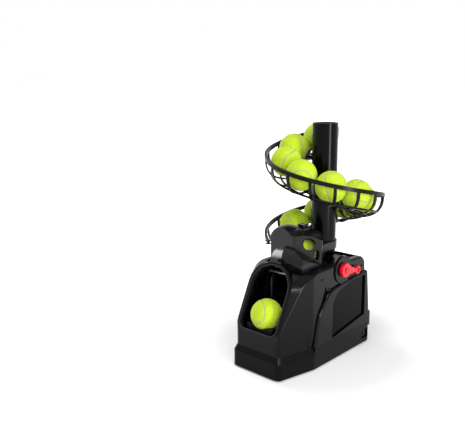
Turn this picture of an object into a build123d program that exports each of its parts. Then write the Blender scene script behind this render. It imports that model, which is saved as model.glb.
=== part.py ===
from build123d import *
import os
from math import atan2, cos, degrees, hypot, pi, radians, sin, sqrt, tan

# Tennis ball machine: a motor-driven throwing arm in a moulded case, fed by a spiral ball rack on a column.
# Machine frame, in millimetres: x across with 0 on the centre plane, y back from the plinth's front face,
# z up from the floor. Every node is moved back by ORIGIN_Y as it is written, which puts the origin on the
# floor under the middle of the whole machine.

# ------------------------------------------------------------------------------ driving dimensions
BALL_D = 67.0                # tennis ball
FIT = 0.05                   # radial clearance of a shaft or spigot in its bore
GAP = 0.3                    # clearance between pieces that only stand next to each other
SEAM = 0.5                   # width of a seam between two mouldings
WALL = 3.0                   # case moulding
THIN_WALL = 2.5              # hood and feeder mouldings

NOSE_HALF = 61.5             # half the plinth's width at its front face
CASE_HALF = 82.0             # half the plinth's width where its sides run straight
FLARE_Y = 94.0               # where the flared nose meets the straight sides
CASE_LENGTH = 308.0
PLAN_CORNER_R = 11.0
FOOT_H = 3.0
FOOT_R = 10.0
FEET = [(-42, 20), (42, 20), (-62, 284), (62, 284)]
PLINTH_FACE_Z = 37.5         # top of the plinth's upright face
PLINTH_TOP = 50.0            # top of its sloping shelf
SHELF = 5.5                  # how far the case stands in from the plinth
FRONT_BREAK_Z = 95.0         # where the front starts to lean back
LEAN = 25.3                  # lean of the front, degrees
FRONT_BREAK_R = 90.0
BROW_R = 57.0                # round edge between the front and the deck
CASE_TOP = 209.0
REAR_LEAN = 0.1              # rear wall, forward per unit of height
REAR_TOP_R = 22.0
EDGE_R = 4.0
FLAT_FRONT_HALF = 56.0       # half the width of the flat front; outside it the front sweeps back
SWEEP_BACK = 1.25            # back per unit of width there
FASCIA_BACK = 105.0          # rear edge of the front fascia
DECK_HALF = 62.0
DECK_TOP = 204.0
DECK_T = 3.5
DECK_BACK = 272.0
REAR_COVER_Y = 284.0

MOUTH_HALF = 48.5
MOUTH_SILL = -3.0            # mouth's sill, along the leaning front from the break line
MOUTH_CROWN = 137.0          # top of the mouth's arch on the same line
MOUTH_CORNER_R = 14.0
TRIM_W = 2.2                 # mouth trim
TRIM_PROUD = 1.4
TRIM_DEEP = 9.0
CROWN_W = 6.5                # collar round the mouth
CROWN_DEEP = 22.0
CROWN_FROM_Z = 130.0         # the collar is cut away below this height

POD_T = CASE_HALF - SHELF    # outer face of the plain case side
POD_EDGE_R = 4.5
RECESS_INLAY_T = 1.5
BUMPER_Z0, BUMPER_Z1 = 39.0, 70.0
BUMPER_BACK = 315.0
SCOOP_R = 20.0
SCOOP_DEPTH = 3.0
EAR_Y, EAR_Z, EAR_R = 198.0, 195.0, 30.0
EAR_OUT = 79.5               # outer face of the lever's ear
LEVER_HUB_R = 15.5
LEVER_TIP_R = 9.0
LEVER_REACH = 46.0
LEVER_DROOP = 12.0           # degrees the lever hangs below level
LEVER_T = 8.0
LEVER_PIN_R = 4.0

COLUMN_Y = 233.0
TUBE_R = 27.75
TUBE_T = 2.0
COLUMN_TOP = 502.0
SOCKET_TOP = 243.0
SOCKET_R = 30.6
SOCKET_FLOOR = 210.0
TUBE_JOINT_Z = 408.0

RIM_R = 131.5                # outside of the rack's flat rim
RIM_W = 5.5
RIM_T = 8.5
PITCH = 176.5                # drop of the rack in one turn
RIM_Z_AT_219 = 435.6         # height of the rim's top face 219 degrees round from +x
TRACK_R = 84.0               # radius of the balls' path round the column
BALL_DROP = 13.0             # ball centres below the rim's top face
RAIL_R = 2.3
RACK_START = 112.0           # degrees round, going down
RACK_END = 599.0
FLOOR_END = 571.0            # where the lower rails stop, at the feeder
RIB_STEP = 22.5
BALL_STEP = 44.7             # spacing of the balls round the rack
LAST_BALL = 538.5
BALLS_IN_RACK = 10

ARM_Y, ARM_Z = 100.0, 192.0  # throwing arm's shaft
ARM_SHAFT_R = 3.0
ARM_WIND = 40.0              # degrees from home to cocked
SEAT_Y, SEAT_Z = 38.0, 119.0  # centre of the ball that waits in the mouth
DROP_Y, DROP_Z = 152.0, 230.0  # centre of the ball on the feed gate
DROP_HOLE_R = 36.5

PAD_T = 3.0                  # rubber pad and blade of the throwing arm
BLADE_T = 6.0
PAD_FACE = BLADE_T / 2 + PAD_T
SIDE_BAR_IN, SIDE_BAR_OUT = 41.0, 45.0
BLADE_IN, BLADE_OUT = 83.0, 102.0  # radii of the blade's edges from the arm's shaft
ROLLER_ARM = 26.0            # cam roller's distance from the arm's shaft
ROLLER_ANGLE = -45.0         # its direction at home, degrees up from +y
ROLLER_R = 5.0
STUD_R = 2.0
SPRING_ARM = 20.0
SPRING_ANGLE = -35.0
SPRING_X = -52.0
SPRING_R = 5.0
SPRING_WIRE_R = 0.8
SPRING_FOOT_Z = 62.0

CAM_BASE = 24.0              # cam shaft to roller centre at home
CAM_RATIO = -6.0             # cam turn per unit of arm swing
CAM_X0, CAM_X1 = 50.0, 56.0
CAM_SHAFT_R = 3.0
CAM_GEAR_TEETH = 44
DRIVE_MODULE = 1.5
PINION_TEETH = 12
IDLER_TEETH = 54
FAST_MODULE = 1.0
IDLER_DIRECTION = -70.0      # degrees from +y, cam shaft to idler shaft
MOTOR_DIRECTION = -70.0      # idler shaft to motor shaft
GEAR_PRESSURE = 25.0
BACKLASH = 0.35
MOTOR_R = 12.0
MOTOR_LENGTH = 38.0
PLATE_T = 2.0
INNER_PLATE_X = 46.5
OUTER_PLATE_X = 69.0
LEFT_PLATE_X = -62.0

RAMP_FRONT_Y, RAMP_FRONT_Z = 84.0, 114.0
RAMP_BACK_Y = 182.0
RAMP_RISE = 0.24
RAMP_HALF = 38.0
RAMP_T = 2.5

SEAM_Z = 250.0               # lower edge of the upper hood
SEAM_FALL = 0.6              # its fall towards the right-hand rear
BASE_IN = 1.2                # how far the feeder base stands in from the hood
HOOD_CORNER_R = 4.0          # front left-hand corner of the hood and the base
DOMES = [                    # centre and half sizes of the two domes that make the hood
    ((0.0, 150.0, 236.0), (67.0, 64.0, 49.5)),
    ((-21.4, 131.7, 240.0), (42.9, 52.4, 50.3)),
]
WINDOW_AT, WINDOW_R = (37.4, 131.4, 257.0), 12.8
OVAL_AT, OVAL_HALF_W, OVAL_HALF_H = (48.9, 142.9, 233.5), 5.5, 11.5
WINDOW_RIM_W = 2.2
WINDOW_RIM_PROUD = 1.0
CHANNEL = [(-95, 200, 256), (-40, 159, 243), (0, 152, 242)]  # way of the ball from the rack to the gate
DRUM_FRONT_Y = 82.0
DRUM_TOP = 250.3
DRUM_R = 34.0                # roll of the lower hood's front into its top
DRUM_SIDE_X = 57.0
DRUM_SIDE_R = 31.0           # roll of its right-hand side into its top
DRUM_LEFT_X = -38.0
SHOULDER = (47.0, 87.0, 239.0)  # the slope below the right-hand seam passes through here
CREASE_X = 1.0               # where the left-hand facet starts
CREASE_TURN = 21.0
FACET_STEP = 0.8             # how far the facet stands back from the front
FACET_TOP = 252.0
FACET_R = 44.0
FACET_LENGTH = 45.5
FACET_TURN = 17.0
FACET_DIP = 8.0

KNOB_X, KNOB_FACE, KNOB_Z = 0.0, 84.0, 226.0
KNOB_R = 4.2
WING_W, WING_H = 11.0, 4.6   # the knob's grip, which clears the collar as it turns
LATCH_Y, LATCH_Z = 164.0, 288.2
LATCH_PIN_R = 1.2

GATE_Y, GATE_Z = 191.0, 194.2
SCREWS = [(125, 188), (252, 192), (276, 186)]
GATE_PIN_R = 1.5
GATE_TOP = 196.2
GATE_T = 4.0
GATE_HALF = 20.0
GATE_FRONT = 120.0

DOOR_HALF, DOOR_Z0, DOOR_Z1 = 45.0, 76.0, 150.0
DOOR_PIN_R = 1.2
KNUCKLE_R = 3.0
CELL_D, CELL_LENGTH = 33.2, 61.5

INLET_Y, ROCKER_Y, POCKET_Z = 283.0, 295.0, 22.5
ROCKER_X = 73.5

BALL_R = BALL_D / 2
BALL_CORE_R = BALL_R - 6.5
ORIGIN_Y = (COLUMN_Y + RIM_R) / 2
LEAN_TAN = tan(radians(LEAN))
FLARE_TAN = (CASE_HALF - NOSE_HALF) / FLARE_Y
FLARE_COS = cos(atan2(CASE_HALF - NOSE_HALF, FLARE_Y))


# ------------------------------------------------------------------------------ helpers
def outline(corners):
    """Closed face from (u, v) or (u, v, radius) corners, with an arc at each corner that has a radius."""
    edges = []
    starts, ends = [], []
    n = len(corners)
    for i, corner in enumerate(corners):
        u, v = corner[:2]
        radius = corner[2] if len(corner) > 2 else 0.0
        here = Vector(u, v)
        before = Vector(*corners[i - 1][:2]) - here
        after = Vector(*corners[(i + 1) % n][:2]) - here
        if radius <= 0:
            starts.append(here)
            ends.append(here)
            continue
        half = radians(before.get_angle(after)) / 2
        reach = radius / tan(half)
        start = here + before.normalized() * reach
        end = here + after.normalized() * reach
        bisector = (before.normalized() + after.normalized()).normalized()
        middle = here + bisector * (radius / sin(half) - radius)
        edges.append(ThreePointArc(start, middle, end))
        starts.append(start)
        ends.append(end)
    for i in range(n):
        a, b = ends[i], starts[(i + 1) % n]
        if (b - a).length > 1e-6:
            edges.append(Line(a, b))
    return make_face(Wire(edges))


def prism(corners, z0, z1):
    """Upright block from a plan outline."""
    return extrude(Pos(0, 0, z0) * outline(corners), z1 - z0, dir=(0, 0, 1))


def side_prism(corners, x0, x1):
    """Block across the machine from a (y, z) outline."""
    return extrude(Plane.YZ.offset(x0) * outline(corners), x1 - x0, dir=(1, 0, 0))


def block(x0, x1, y0, y1, z0, z1):
    return Pos((x0 + x1) / 2, (y0 + y1) / 2, (z0 + z1) / 2) * Box(x1 - x0, y1 - y0, z1 - z0)


def cross_rod(y, z, radius, x0, x1):
    """Round bar along x."""
    return Pos((x0 + x1) / 2, y, z) * Rot(0, 90, 0) * Cylinder(radius, x1 - x0)


def upright(x, y, radius, z0, z1):
    return Pos(x, y, (z0 + z1) / 2) * Cylinder(radius, z1 - z0)


def mirrored(shape):
    return mirror(shape, about=Plane.YZ)


def group(shapes):
    """Separate solids kept together in one node."""
    solids = []
    for shape in shapes:
        solids += shape.solids()
    return Compound(children=solids)


def save(name, shape):
    placed = Pos(0, -ORIGIN_Y, 0) * shape
    export_step(placed, f"parts/{name}.step")


# ------------------------------------------------------------------------------ case shell
def plan_corners(inset, y_front=None, y_back=None):
    """The case's plan, standing in from the plinth by inset."""
    front = inset if y_front is None else y_front
    back = CASE_LENGTH - inset if y_back is None else y_back
    nose = NOSE_HALF + FLARE_TAN * front - inset / FLARE_COS
    wide = CASE_HALF - inset
    flare = (wide - NOSE_HALF + inset / FLARE_COS) / FLARE_TAN
    r = PLAN_CORNER_R
    return [
        (nose, front, r), (wide, flare, 30), (wide, back, r),
        (-wide, back, r), (-wide, flare, 30), (-nose, front, r),
    ]


def front_y(z, inset=0.0):
    """Where the leaning front's flat plane is at height z, inset below the surface."""
    return SHELF + (z - FRONT_BREAK_Z) * LEAN_TAN + inset / cos(radians(LEAN))


def front_corners(inset, top, back):
    """(y, z) region behind the front: upright, then leaning back, then round into the deck."""
    y0 = SHELF + inset
    break_z = FRONT_BREAK_Z + (y0 - front_y(FRONT_BREAK_Z, inset)) / LEAN_TAN
    return [
        (y0, PLINTH_TOP - 1),
        (y0, break_z, FRONT_BREAK_R - inset),
        (front_y(top, inset), top, BROW_R - inset),
        (back, top),
        (back, PLINTH_TOP - 1),
    ]


def rear_region(inset):
    """Everything in front of the leaning rear wall."""
    top, foot = 260, 0
    back = CASE_LENGTH - inset
    lean = REAR_LEAN * (top - PLINTH_TOP)
    corners = [(-20, foot), (back, foot), (back, PLINTH_TOP), (back - lean, top), (-20, top)]
    return side_prism(corners, -CASE_HALF - 5, CASE_HALF + 5)


def case_solid(inset):
    """The case above the plinth as one solid, inset all over."""
    top = CASE_TOP - inset
    flat = FLAT_FRONT_HALF - inset * 0.5
    far = CASE_LENGTH + 200
    region = outline(front_corners(inset, top, far))
    middle = extrude(Plane.YZ.offset(-flat) * region, 2 * flat, dir=(1, 0, 0))
    swept = extrude(Plane.YZ.offset(flat) * region, 60, dir=(1, SWEEP_BACK, 0))
    front = middle + swept + mirrored(swept)
    plan = prism(plan_corners(SHELF + inset), PLINTH_TOP, top + 1)
    back = CASE_LENGTH - SHELF - inset
    lean = REAR_LEAN * (top - PLINTH_TOP)
    rear = side_prism(
        [(-1, PLINTH_TOP - 1), (back, PLINTH_TOP - 1), (back - lean, top, REAR_TOP_R - inset), (-1, top)],
        -CASE_HALF, CASE_HALF,
    )
    return front & plan & rear


FRONT_PLANE = Plane(
    origin=(0, SHELF, FRONT_BREAK_Z),
    x_dir=(1, 0, 0),
    z_dir=(0, -cos(radians(LEAN)), sin(radians(LEAN))),
)


def mouth_face(grow):
    """Mouth outline on the leaning front, grown outwards: a sill with round corners and an arched top."""
    half = MOUTH_HALF + grow
    sill = MOUTH_SILL - grow
    spring = MOUTH_CROWN - MOUTH_HALF
    r = MOUTH_CORNER_R + grow
    lower = outline([(half, sill, r), (half, spring), (-half, spring), (-half, sill, r)])
    return lower + Pos(0, spring) * Circle(half)


def mouth_block(grow, out, deep):
    """Solid of the mouth's outline, from out in front of the leaning front to deep behind it."""
    return extrude(FRONT_PLANE.offset(-deep) * mouth_face(grow), out + deep)


def deck_recess(grow, z0, z1):
    return block(-DECK_HALF - grow, DECK_HALF + grow, FASCIA_BACK - grow, DECK_BACK + grow, z0, z1)


def pod_outline():
    """Raised moulding along the rear of each side, like a wheel arch."""
    back = CASE_LENGTH - SHELF
    return [
        (90, 20), (110, 116, 60), (146, 160, 50), (205, 168, 60), (276, 173),
        (back + 20 - REAR_LEAN * (173 - PLINTH_TOP), 173), (back + 20, 20),
    ]


def pod_solid():
    pod = side_prism(pod_outline(), POD_T - WALL, CASE_HALF)
    face = pod.faces().sort_by(Axis.X)[-1]
    pod = fillet(face.outer_wire().edges(), POD_EDGE_R)
    return pod - side_prism(recess_outline(), POD_T, CASE_HALF + 1)


def recess_outline(inset=0.0):
    """Sunk panel inside the pod; its lower edge climbs towards the rear."""
    return [
        (157 + inset, 52 + inset), (157 + inset, 148 - inset, 40), (226, 165 - inset, 90),
        (282 - inset, 166 - inset), (282 - inset, 72 + inset),
    ]


def side_details(shell_zone):
    """Pod, scoop and deck lips of the right-hand side, joined to the shell's right-hand zone."""
    pod = pod_solid() & prism(plan_corners(0), PLINTH_TOP, CASE_TOP)
    scoop_side = [(82, PLINTH_TOP), (122, PLINTH_TOP), (166, 168), (126, 168)]
    scoop_back = side_prism(scoop_side, POD_T - 5, POD_T - 1)
    lip_x = DECK_HALF + SEAM
    lip = block(lip_x, lip_x + WALL, FASCIA_BACK + SEAM / 2, REAR_COVER_Y - 1, 197, CASE_TOP - 1)
    ledge = block(DECK_HALF - 5, DECK_HALF + 1, FASCIA_BACK + 5, REAR_COVER_Y - 1, 197, DECK_TOP - DECK_T)
    lip += ledge
    lip &= block(0, CASE_HALF, 0, DECK_BACK + WALL, 0, 300)
    start, end = Vector(0, 97, 44), Vector(0, 146, 168)
    middle = (start + end) / 2 + Vector(POD_T + SCOOP_R - SCOOP_DEPTH, 0, 0)
    scoop = Plane(origin=middle, x_dir=(1, 0, 0), z_dir=end - start) * Cylinder(SCOOP_R, (end - start).length)
    return shell_zone + scoop_back - scoop + pod + lip


def case_pieces():
    shell = softened(case_solid(0)) - case_solid(WALL)
    shell -= deck_recess(SEAM, 195, CASE_TOP + 5)
    half_seam = SEAM / 2
    flat = FLAT_FRONT_HALF

    front_zone = block(-flat + half_seam, flat - half_seam, -5, FASCIA_BACK - half_seam, 0, 260)
    crown = mouth_block(CROWN_W, 0, CROWN_DEEP) & block(-90, 90, -50, 200, CROWN_FROM_Z, 300)
    fascia = (shell & front_zone) + crown
    fascia += block(-50, 50, FASCIA_BACK - WALL, FASCIA_BACK - half_seam, DECK_TOP - DECK_T, CASE_TOP - 1)
    fascia -= mouth_block(TRIM_W + GAP, 40, TRIM_DEEP + GAP)
    fascia -= mouth_block(0, 40, CROWN_DEEP + 40)
    save("front_fascia", fascia)

    trim = mouth_block(TRIM_W, TRIM_PROUD, TRIM_DEEP) - mouth_block(0, 20, 40)
    save("mouth_trim", trim)

    side_zone = block(0, 90, -5, REAR_COVER_Y - half_seam, 0, 260)
    side_zone -= block(-1, flat + half_seam, -6, FASCIA_BACK + half_seam, 0, 261)
    right = side_details(shell & side_zone) & side_zone
    save("left_side_cover", mirrored(right))
    ear = cross_rod(EAR_Y, EAR_Z, EAR_R, POD_T - WALL, EAR_OUT)
    right += ear
    right -= cross_rod(EAR_Y, EAR_Z, LEVER_PIN_R + FIT, 60, 100)
    save("right_side_cover", right)
    inlay = side_prism(recess_outline(GAP), POD_T, POD_T + RECESS_INLAY_T)
    save("right_side_inlay", inlay)
    save("left_side_inlay", mirrored(inlay))

    rear_zone = block(-90, 90, REAR_COVER_Y + half_seam, CASE_LENGTH + 20, 0, 260)
    pods = pod_solid()
    pods = (pods + mirrored(pods)) & prism(plan_corners(0), PLINTH_TOP, CASE_TOP) & rear_region(SHELF)
    rear = (shell + pods) & rear_zone
    rear_parts(rear)

    deck = deck_recess(0, DECK_TOP - DECK_T, DECK_TOP)
    deck &= block(-90, 90, FASCIA_BACK + half_seam, 400, 0, 300)
    deck -= upright(0, DROP_Y, DROP_HOLE_R, 190, 210)
    ears = [
        block(x - 2.5, x + 2.5, GATE_Y - 4, GATE_Y + 4, GATE_Z - 4.5, DECK_TOP - DECK_T)
        for x in (-19.5, 19.5)
    ]
    deck = deck + ears[0] + ears[1] - cross_rod(GATE_Y, GATE_Z, GATE_PIN_R, -30, 30)
    save("top_deck", deck)


def softened(case):
    """Rounds the long edge that runs up the front and back along the deck on each side."""
    edges = []
    for edge in case.edges():
        ends = [edge @ 0, edge @ 1]
        upright_edge = hypot(ends[0].X - ends[1].X, ends[0].Y - ends[1].Y) < 0.001
        shelf_edge = [NOSE_HALF + FLARE_TAN * v.Y - SHELF / FLARE_COS for v in ends]
        outside = [
            abs(abs(v.X) - POD_T) < 0.3 or abs(abs(v.X) - x) < 0.4
            for v, x in zip(ends, shelf_edge)
        ]
        if all(outside) and not upright_edge and min(v.Z for v in ends) > FRONT_BREAK_Z:
            edges.append(edge)
    return fillet(edges, EDGE_R)


def rear_wall_y(z, inset=0.0):
    return CASE_LENGTH - SHELF - REAR_LEAN * (z - PLINTH_TOP) - inset


DOOR_AXIS_Y = rear_wall_y(DOOR_Z0) - KNUCKLE_R + 0.4


def rear_parts(rear):
    """Rear cover with its battery door on a pinned hinge along the door's lower edge."""
    door_half = DOOR_HALF + SEAM
    opening = block(-door_half, door_half, REAR_COVER_Y, 320, DOOR_Z0 - KNUCKLE_R - SEAM, DOOR_Z1 + SEAM)
    door = rear & block(-DOOR_HALF, DOOR_HALF, REAR_COVER_Y, 320, DOOR_Z0 + 1, DOOR_Z1)
    knuckle = cross_rod(DOOR_AXIS_Y, DOOR_Z0, KNUCKLE_R, -DOOR_HALF, DOOR_HALF)
    web = block(-DOOR_HALF, DOOR_HALF, DOOR_AXIS_Y - 0.5, DOOR_AXIS_Y + KNUCKLE_R - 0.9, DOOR_Z0, DOOR_Z0 + 4)
    door = door + knuckle + web - cross_rod(DOOR_AXIS_Y, DOOR_Z0, DOOR_PIN_R + FIT, -60, 60)
    save("battery_door", door)
    cover = rear - opening
    for side in (-1, 1):
        x0, x1 = sorted((side * (DOOR_HALF + SEAM), side * (DOOR_HALF + 6)))
        cover += block(x0, x1, DOOR_AXIS_Y - 4, rear_wall_y(DOOR_Z0) - 1, DOOR_Z0 - 5, DOOR_Z0 + 5)
    cover -= cross_rod(DOOR_AXIS_Y, DOOR_Z0, DOOR_PIN_R, -DOOR_HALF - 5, DOOR_HALF + 5)
    save("rear_cover", cover)
    save("door_pin", cross_rod(DOOR_AXIS_Y, DOOR_Z0, DOOR_PIN_R, -DOOR_HALF - 5, DOOR_HALF + 5))
    bumper = prism(plan_corners(0, y_back=BUMPER_BACK), BUMPER_Z0, BUMPER_Z1)
    bumper &= block(-90, 90, 290, 330, 0, 100)
    bumper -= prism(plan_corners(-GAP), 0, 100)
    save("rear_bumper", bumper)


# ------------------------------------------------------------------------------ base
def base_pieces():
    tray = prism(plan_corners(0), FOOT_H, PLINTH_FACE_Z)
    lower = Pos(0, 0, PLINTH_FACE_Z) * outline(plan_corners(0))
    upper = Pos(0, 0, PLINTH_TOP) * outline(plan_corners(SHELF))
    tray += loft([lower, upper])
    skirt_side = [(96, 25), (CASE_LENGTH, 25), (CASE_LENGTH, PLINTH_TOP), (96, PLINTH_TOP)]
    skirt = side_prism(skirt_side, POD_T - WALL, CASE_HALF)
    skirt &= prism(plan_corners(0), 0, PLINTH_TOP)
    tray += skirt + mirrored(skirt)
    tray -= prism(plan_corners(WALL + 1), FOOT_H + WALL, 31)
    tray -= prism(plan_corners(SHELF + WALL), FOOT_H + WALL, PLINTH_TOP + 1)
    bezel = block(70, CASE_HALF, INLET_Y - 10, ROCKER_Y + 9, FOOT_H + WALL - 1, 37)
    bezel &= prism(plan_corners(0), 0, 60)
    bezel -= block(CASE_HALF - 4, CASE_HALF + 2, INLET_Y - 8, ROCKER_Y + 7, POCKET_Z - 10, POCKET_Z + 11)
    bezel -= block(60, CASE_HALF, ROCKER_Y - 4.5, ROCKER_Y + 4.5, POCKET_Z - 7.5, POCKET_Z + 7.5)
    bezel -= cross_rod(INLET_Y, POCKET_Z, 5.5 + FIT, 60, CASE_HALF)
    tray -= block(70, CASE_HALF + 2, INLET_Y - 9, ROCKER_Y + 8, FOOT_H + WALL, 36)
    tray += bezel
    tray -= rocker_pin(FIT)
    for x in (-40, 40):
        for y in (186, 208):
            tray += upright(x, y, 3, FOOT_H + 1, FOOT_H + WALL + 5)
    save("base_tray", tray)
    feet = []
    for x, y in FEET:
        foot = upright(x, y, FOOT_R, 0, FOOT_H)
        feet.append(chamfer(foot.edges().sort_by(Axis.Z)[0], 0.8))
    save("feet", group(feet))
    inlet = cross_rod(INLET_Y, POCKET_Z, 5.5, 66, CASE_HALF - 2.5)
    inlet -= cross_rod(INLET_Y, POCKET_Z, 3.6, 69, CASE_HALF)
    inlet += cross_rod(INLET_Y, POCKET_Z, 1.1, 68.5, CASE_HALF - 4.5)
    save("dc_inlet", inlet)
    z = POCKET_Z
    face = outline([(72, z - 6), (77.2, z - 6), (75.8, z), (77.2, z + 6), (72, z + 6)])
    rocker = Pos(0, ROCKER_Y, 0) * extrude(Plane.XZ * face, 3.9, both=True)
    save("power_rocker", rocker + rocker_pin(0))


def rocker_pin(grow):
    return Pos(ROCKER_X, ROCKER_Y, POCKET_Z) * Rot(90, 0, 0) * Cylinder(1.2 + grow, 11)


# ------------------------------------------------------------------------------ feeder
def hood_plan(inset):
    r = 8 - inset
    k = inset
    return [
        (-60 + k, 118 + k * 0.9, HOOD_CORNER_R - k), (14, 108 + k * 1.1, r),
        (57 - k * 1.42, 151, 5), (12 - k * 0.42, 198 - k, r), (-60 + k, 198 - k, 10 - k),
    ]


SEAM_PLANE = Plane(origin=(12, 107, 0), x_dir=(1, 1, 0), z_dir=(1, -1, 0))


def seam_z(x, y):
    """Height of the seam round the hood: level on the left, falling towards the right-hand rear."""
    return SEAM_Z - SEAM_FALL * max(0.0, (x - 12 + y - 107) / sqrt(2))


def above_seam(raise_by):
    far, z = 130, SEAM_Z + raise_by
    corners = [(-far, z), (0, z), (far, z - SEAM_FALL * far), (far, 400), (-far, 400)]
    return extrude(SEAM_PLANE * outline(corners), 200, both=True)


def below_seam(drop_by):
    far, z = 130, SEAM_Z - drop_by
    corners = [(-far, 100), (far, 100), (far, z - SEAM_FALL * far), (0, z), (-far, z)]
    return extrude(SEAM_PLANE * outline(corners), 200, both=True)


def below_slope(drop_by):
    """Everything under the slope that runs from the right-hand seam out to the lower hood's shoulder."""
    corners = [Vector(x, y, seam_z(x, y) - 2 * SEAM) for x, y in ((14, 108), (57, 151))]
    normal = (Vector(*SHOULDER) - corners[0]).cross(corners[1] - corners[0]).normalized()
    slope = Plane(origin=corners[0] - normal * drop_by, z_dir=normal)
    return slope * Box(300, 300, 200, align=(Align.CENTER, Align.CENTER, Align.MAX))


def hood_solid(inset):
    wide, left = [
        Pos(*centre) * scale(Sphere(1), by=tuple(half - inset for half in halves)) for centre, halves in DOMES
    ]
    return prism(hood_plan(inset), 150, 320) & (wide + left)


def window_outlines(grow):
    """Outlines of the two openings in the hood's right-hand face, grown outwards."""
    round_one = Circle(WINDOW_R + grow)
    oval = Ellipse(OVAL_HALF_W + grow, OVAL_HALF_H + grow)
    return [
        Plane(origin=place, x_dir=(1, 1, 0), z_dir=(1, -1, 0)) * face
        for place, face in ((WINDOW_AT, round_one), (OVAL_AT, oval))
    ]


def rod_between(a, b, radius):
    a, b = Vector(*a), Vector(*b)
    return Plane(origin=(a + b) / 2, z_dir=b - a) * Cylinder(radius, (b - a).length)


def ball_way():
    """Tube-shaped clearance for the balls on their way under the hood."""
    a, b, c = CHANNEL
    way = rod_between(a, b, DROP_HOLE_R) + Pos(*b) * Sphere(DROP_HOLE_R) + rod_between(b, c, DROP_HOLE_R)
    return way + Pos(*c) * Sphere(DROP_HOLE_R)


def drum_solid(inset):
    """Lower hood: its front and right side roll over into its top, and a facet turns back on its left."""
    low, top = 190 - inset, DRUM_TOP - inset
    front = DRUM_FRONT_Y + inset
    side = DRUM_SIDE_X - inset
    section = [(front, low), (front, top, DRUM_R - inset), (170, top), (170, low)]
    across = side_prism(section, DRUM_LEFT_X, side)
    rolled = outline([(DRUM_LEFT_X, low), (side, low), (side, top, DRUM_SIDE_R - inset), (DRUM_LEFT_X, top)])
    body = across & extrude(Plane.XZ * rolled, 200, both=True)
    crease = Pos(CREASE_X, DRUM_FRONT_Y, 0)
    body -= crease * Rot(0, 0, CREASE_TURN) * block(-90, inset, -30, 120, 150, 300)
    body &= below_slope(inset)
    front += FACET_STEP
    top = FACET_TOP - inset
    profile = [(front, low), (front, top, FACET_R - inset), (170, top), (170, low)]
    facet = side_prism(profile, CREASE_X - FACET_LENGTH + inset, CREASE_X)
    pivot = Pos(CREASE_X, DRUM_FRONT_Y, DRUM_TOP - DRUM_R)
    return body + pivot * Rot(0, 0, -FACET_TURN) * Rot(0, -FACET_DIP, 0) * pivot.inverse() * facet


def feeder_pieces():
    floor = DECK_TOP + 0.2
    body = prism(hood_plan(BASE_IN), floor, SEAM_Z + 5) & below_seam(SEAM)
    track = [(-95, 205), (-40, 159), (0, 152)]
    cut = upright(*track[1], DROP_HOLE_R, floor + 4, 300) + upright(*track[2], DROP_HOLE_R, floor - 5, 300)
    for (x0, y0), (x1, y1) in zip(track, track[1:]):
        length = hypot(x1 - x0, y1 - y0)
        leg = Box(length, 2 * DROP_HOLE_R, 100, align=(Align.CENTER, Align.CENTER, Align.MIN))
        heading = degrees(atan2(y1 - y0, x1 - x0))
        cut += Pos((x0 + x1) / 2, (y0 + y1) / 2, floor + 4) * Rot(0, 0, heading) * leg
    socket = block(-SOCKET_R, SOCKET_R, 188, COLUMN_Y, floor, SOCKET_TOP)
    socket += upright(0, COLUMN_Y, SOCKET_R, floor, SOCKET_TOP)
    socket -= upright(0, COLUMN_Y, TUBE_R + FIT, SOCKET_FLOOR, 300)
    arch = [(191, floor - 1), (191, SOCKET_TOP - 17, 13), (280, SOCKET_TOP - 17), (280, floor - 1)]
    socket -= side_prism(arch, 9, 60)
    under_hood = prism(hood_plan(-GAP), 0, 300) & above_seam(-SEAM)
    base = body + socket - cut - under_hood
    save("feeder_base", base)

    hood = (hood_solid(0) - hood_solid(THIN_WALL)) & above_seam(0)
    hood &= block(-80, 80, 60, 300, floor + GAP, 320)
    hood -= ball_way()
    for face in window_outlines(WINDOW_RIM_W):
        hood += extrude(face, WINDOW_RIM_PROUD) + extrude(face, -THIN_WALL * 0.5)
    for face in window_outlines(0):
        hood -= extrude(face, 20, both=True)
    solids = hood.solids().sort_by(SortBy.VOLUME)
    save("upper_hood", solids[-1] + latch_ears())

    drum = drum_solid(0) - drum_solid(THIN_WALL)
    drum &= below_seam(SEAM) & block(-80, 80, 60, 149, CASE_TOP + GAP, 300)
    drum -= prism(hood_plan(BASE_IN - GAP), 0, 400)
    drum -= mouth_block(CROWN_W + GAP, 10, CROWN_DEEP + GAP)
    solids = drum.solids().sort_by(SortBy.VOLUME)
    knob_bore = Pos(KNOB_X, KNOB_FACE, KNOB_Z) * Rot(90, 0, 0) * Cylinder(2 + FIT, 20)
    knob_bore += Pos(KNOB_X, KNOB_FACE - 5, KNOB_Z) * Rot(90, 0, 0) * Cylinder(KNOB_R + GAP, 10)
    save("lower_hood", solids[-1] - knob_bore)
    stem = Pos(KNOB_X, KNOB_FACE + 1.5, KNOB_Z) * Rot(90, 0, 0) * Cylinder(2, 9)
    boss = Pos(KNOB_X, KNOB_FACE - 1.55, KNOB_Z) * Rot(90, 0, 0) * Cylinder(KNOB_R, 3)
    wing = Pos(KNOB_X, KNOB_FACE - 4.3, KNOB_Z) * Box(WING_W, 2.8, WING_H)
    save("thumb_knob", boss + stem + wing)


def latch_ears():
    """Two ears on top of the upper hood that carry the latch's pin."""
    ears = block(-8, -5, 160, 168, 282.8, 291) + block(5, 8, 160, 168, 282.8, 291)
    return ears - cross_rod(LATCH_Y, LATCH_Z, LATCH_PIN_R + FIT, -20, 20)


def latch_pieces():
    latch = block(-4.7, 4.7, 151, LATCH_Y, 286.2, 290.4) + cross_rod(LATCH_Y, LATCH_Z, 2.4, -4.7, 4.7)
    latch += block(-7.5, 7.5, 148.5, 156, 286.2, 291)
    save("hood_latch", latch + cross_rod(LATCH_Y, LATCH_Z, LATCH_PIN_R, -8, 8))


# ------------------------------------------------------------------------------ rack
def rim_z(angle):
    return RIM_Z_AT_219 - PITCH * (angle - 219) / 360


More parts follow.
